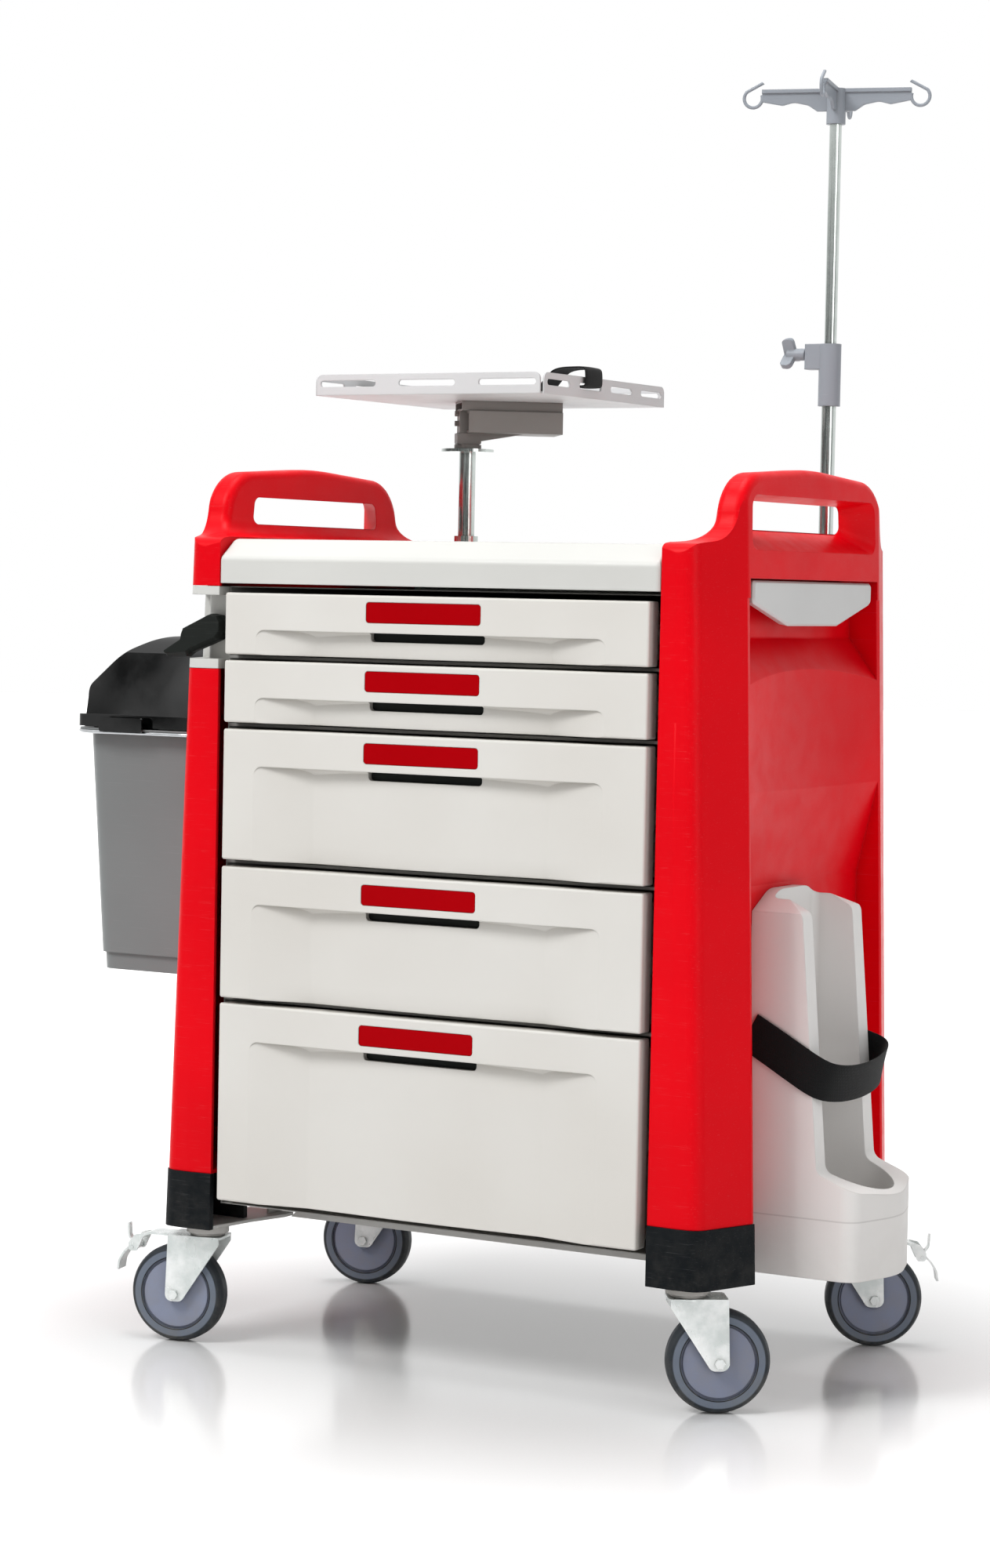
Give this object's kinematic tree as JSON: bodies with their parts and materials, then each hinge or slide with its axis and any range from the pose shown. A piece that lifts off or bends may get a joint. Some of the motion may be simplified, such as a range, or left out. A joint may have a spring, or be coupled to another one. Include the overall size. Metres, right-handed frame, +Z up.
{
  "type": "crash cart",
  "caption": "Hospital crash cart on castors with drawers, pull-out shelf, monitor tray, infusion pole, waste bin and cylinder holder.",
  "frame": {"origin": "middle of the castor pattern on the floor", "axes": "+X to the right across the drawers seen from the front, +Y from the front to the back, +Z up"},
  "size_m": [1.1432, 0.698, 1.6406],
  "materials": {
    "red_moulding": "satin moulded red plastic",
    "bumper": "matt dark rubberised plastic",
    "base_steel": "powder coat, light grey",
    "cabinet_steel": "dark powder coat",
    "white_moulding": "satin off-white plastic",
    "label_red": "smooth red plastic",
    "grip_black": "matt black plastic",
    "drawer_white": "satin warm off-white plastic",
    "zinc_steel": "bright zinc",
    "shelf_white": "satin off-white plastic",
    "castor_zinc": "bright zinc plating",
    "tyre_rubber": "matt grey rubber",
    "hub_plastic": "matt dark grey plastic",
    "holder_grey": "fine-grained light grey plastic",
    "webbing": "black woven webbing",
    "bin_grey": "satin mid-grey plastic",
    "lid_black": "glossy smoked black plastic",
    "wire_steel": "bright steel wire",
    "chrome_tube": "polished steel tube",
    "pole_plastic": "satin blue-grey plastic",
    "arm_grey": "grey powder coat",
    "tray_white": "white powder coat"
  },
  "bodies": {
    "cart": {"base_frame": "base_steel", "cabinet_carcass": "cabinet_steel", "side_panel_left": "red_moulding", "side_panel_right": "red_moulding", "worktop": "white_moulding", "corner_bumpers": "bumper", "runners_fixed": "zinc_steel", "lock_housing": "white_moulding", "pole_brackets": "pole_plastic", "pole_tube": "chrome_tube", "pole_clamp": "pole_plastic", "monitor_post": "chrome_tube", "cylinder_holder": "holder_grey", "cylinder_strap": "webbing", "bin_body": "bin_grey", "bin_hanger": "wire_steel", "screws": "zinc_steel"},
    "drawer_unit_1": {"drawer_1": "drawer_white", "drawer_label_1": "label_red", "drawer_grip_1": "grip_black"},
    "runner_unit_1": {"runner_middle_1": "zinc_steel"},
    "drawer_unit_2": {"drawer_2": "drawer_white", "drawer_label_2": "label_red", "drawer_grip_2": "grip_black"},
    "runner_unit_2": {"runner_middle_2": "zinc_steel"},
    "drawer_unit_3": {"drawer_3": "drawer_white", "drawer_label_3": "label_red", "drawer_grip_3": "grip_black"},
    "runner_unit_3": {"runner_middle_3": "zinc_steel"},
    "drawer_unit_4": {"drawer_4": "drawer_white", "drawer_label_4": "label_red", "drawer_grip_4": "grip_black"},
    "runner_unit_4": {"runner_middle_4": "zinc_steel"},
    "drawer_unit_5": {"drawer_5": "drawer_white", "drawer_label_5": "label_red", "drawer_grip_5": "grip_black"},
    "runner_unit_5": {"runner_middle_5": "zinc_steel"},
    "side_shelf_unit": {"side_shelf": "shelf_white"},
    "castor_front_left": {"castor_fork_front_left": "castor_zinc"},
    "wheel_front_left": {"castor_tyre_front_left": "tyre_rubber", "castor_hub_front_left": "hub_plastic"},
    "pedal_front_left": {"brake_pedal_front_left": "castor_zinc"},
    "castor_front_right": {"castor_fork_front_right": "castor_zinc"},
    "wheel_front_right": {"castor_tyre_front_right": "tyre_rubber", "castor_hub_front_right": "hub_plastic"},
    "castor_rear_left": {"castor_fork_rear_left": "castor_zinc"},
    "wheel_rear_left": {"castor_tyre_rear_left": "tyre_rubber", "castor_hub_rear_left": "hub_plastic"},
    "castor_rear_right": {"castor_fork_rear_right": "castor_zinc"},
    "wheel_rear_right": {"castor_tyre_rear_right": "tyre_rubber", "castor_hub_rear_right": "hub_plastic"},
    "pedal_rear_right": {"brake_pedal_rear_right": "castor_zinc"},
    "rod_unit": {"pole_rod": "chrome_tube"},
    "head_unit": {"hook_head": "pole_plastic"},
    "knob_unit": {"clamp_knob": "pole_plastic"},
    "monitor_unit": {"shelf_arm": "arm_grey", "monitor_tray": "tray_white", "tray_strap": "webbing"},
    "lid_unit": {"bin_lid": "lid_black"},
    "lever_unit": {"lock_lever": "grip_black"}
  },
  "joints": [
    {"name": "drawer_1_slide", "type": "slide", "parent": "cart", "child": "drawer_unit_1", "axis": [0, -1, 0], "range_m": [0, 0.4]},
    {"name": "runner_1_slide", "type": "slide", "parent": "cart", "child": "runner_unit_1", "axis": [0, -1, 0], "range_m": [0, 0.2]},
    {"name": "drawer_2_slide", "type": "slide", "parent": "cart", "child": "drawer_unit_2", "axis": [0, -1, 0], "range_m": [0, 0.4]},
    {"name": "runner_2_slide", "type": "slide", "parent": "cart", "child": "runner_unit_2", "axis": [0, -1, 0], "range_m": [0, 0.2]},
    {"name": "drawer_3_slide", "type": "slide", "parent": "cart", "child": "drawer_unit_3", "axis": [0, -1, 0], "range_m": [0, 0.4]},
    {"name": "runner_3_slide", "type": "slide", "parent": "cart", "child": "runner_unit_3", "axis": [0, -1, 0], "range_m": [0, 0.2]},
    {"name": "drawer_4_slide", "type": "slide", "parent": "cart", "child": "drawer_unit_4", "axis": [0, -1, 0], "range_m": [0, 0.4]},
    {"name": "runner_4_slide", "type": "slide", "parent": "cart", "child": "runner_unit_4", "axis": [0, -1, 0], "range_m": [0, 0.2]},
    {"name": "drawer_5_slide", "type": "slide", "parent": "cart", "child": "drawer_unit_5", "axis": [0, -1, 0], "range_m": [0, 0.4]},
    {"name": "runner_5_slide", "type": "slide", "parent": "cart", "child": "runner_unit_5", "axis": [0, -1, 0], "range_m": [0, 0.2]},
    {"name": "side_shelf_slide", "type": "slide", "parent": "cart", "child": "side_shelf_unit", "axis": [1, 0, 0], "range_m": [0, 0.3]},
    {"name": "front_left_swivel", "type": "hinge", "parent": "cart", "child": "castor_front_left", "pos_m": [-0.343, -0.2295, 0.139], "axis": [0, 0, 1], "continuous": true},
    {"name": "front_left_wheel", "type": "hinge", "parent": "castor_front_left", "child": "wheel_front_left", "pos_m": [-0.3791, -0.23763, 0.0625], "axis": [0.2198, -0.9755, 0], "continuous": true},
    {"name": "front_left_brake", "type": "hinge", "parent": "castor_front_left", "child": "pedal_front_left", "pos_m": [-0.4386, -0.25105, 0.118], "axis": [0.2198, -0.9755, 0], "range_deg": [0, 25]},
    {"name": "front_right_swivel", "type": "hinge", "parent": "cart", "child": "castor_front_right", "pos_m": [0.343, -0.2295, 0.139], "axis": [0, 0, 1], "continuous": true},
    {"name": "front_right_wheel", "type": "hinge", "parent": "castor_front_right", "child": "wheel_front_right", "pos_m": [0.3736, -0.2087, 0.0625], "axis": [-0.5621, 0.8271, 0], "continuous": true},
    {"name": "rear_left_swivel", "type": "hinge", "parent": "cart", "child": "castor_rear_left", "pos_m": [-0.343, 0.2295, 0.139], "axis": [0, 0, 1], "continuous": true},
    {"name": "rear_left_wheel", "type": "hinge", "parent": "castor_rear_left", "child": "wheel_rear_left", "pos_m": [-0.37881, 0.22017, 0.0625], "axis": [0.2521, -0.9677, 0], "continuous": true},
    {"name": "rear_right_swivel", "type": "hinge", "parent": "cart", "child": "castor_rear_right", "pos_m": [0.343, 0.2295, 0.139], "axis": [0, 0, 1], "continuous": true},
    {"name": "rear_right_wheel", "type": "hinge", "parent": "castor_rear_right", "child": "wheel_rear_right", "pos_m": [0.37517, 0.24778, 0.0625], "axis": [-0.4939, 0.8695, 0], "continuous": true},
    {"name": "rear_right_brake", "type": "hinge", "parent": "castor_rear_right", "child": "pedal_rear_right", "pos_m": [0.42821, 0.27791, 0.118], "axis": [-0.4939, 0.8695, 0], "range_deg": [0, 25]},
    {"name": "pole_height", "type": "slide", "parent": "cart", "child": "rod_unit", "axis": [0, 0, 1], "range_m": [-0.13, 0.45]},
    {"name": "hook_head_turn", "type": "hinge", "parent": "rod_unit", "child": "head_unit", "pos_m": [0.2587, 0.298, 1.584], "axis": [0, 0, 1], "continuous": true},
    {"name": "clamp_knob_turn", "type": "hinge", "parent": "cart", "child": "knob_unit", "pos_m": [0.2087, 0.298, 1.286], "axis": [1, 0, 0], "continuous": true},
    {"name": "monitor_swivel", "type": "hinge", "parent": "cart", "child": "monitor_unit", "pos_m": [-0.195, 0.14, 1.152], "axis": [0, 0, 1], "continuous": true},
    {"name": "bin_lid_hinge", "type": "hinge", "parent": "cart", "child": "lid_unit", "pos_m": [-0.505, 0.147, 0.787], "axis": [-1, 0, 0], "range_deg": [0, 100]},
    {"name": "lock_lever_turn", "type": "hinge", "parent": "cart", "child": "lever_unit", "pos_m": [-0.327, -0.263, 0.915], "axis": [0, 1, 0], "range_deg": [0, 45]}
  ],
  "couplings": [
    {"joint": "runner_1_slide", "follows": "drawer_1_slide", "ratio": 0.5},
    {"joint": "runner_2_slide", "follows": "drawer_2_slide", "ratio": 0.5},
    {"joint": "runner_3_slide", "follows": "drawer_3_slide", "ratio": 0.5},
    {"joint": "runner_4_slide", "follows": "drawer_4_slide", "ratio": 0.5},
    {"joint": "runner_5_slide", "follows": "drawer_5_slide", "ratio": 0.5}
  ]
}
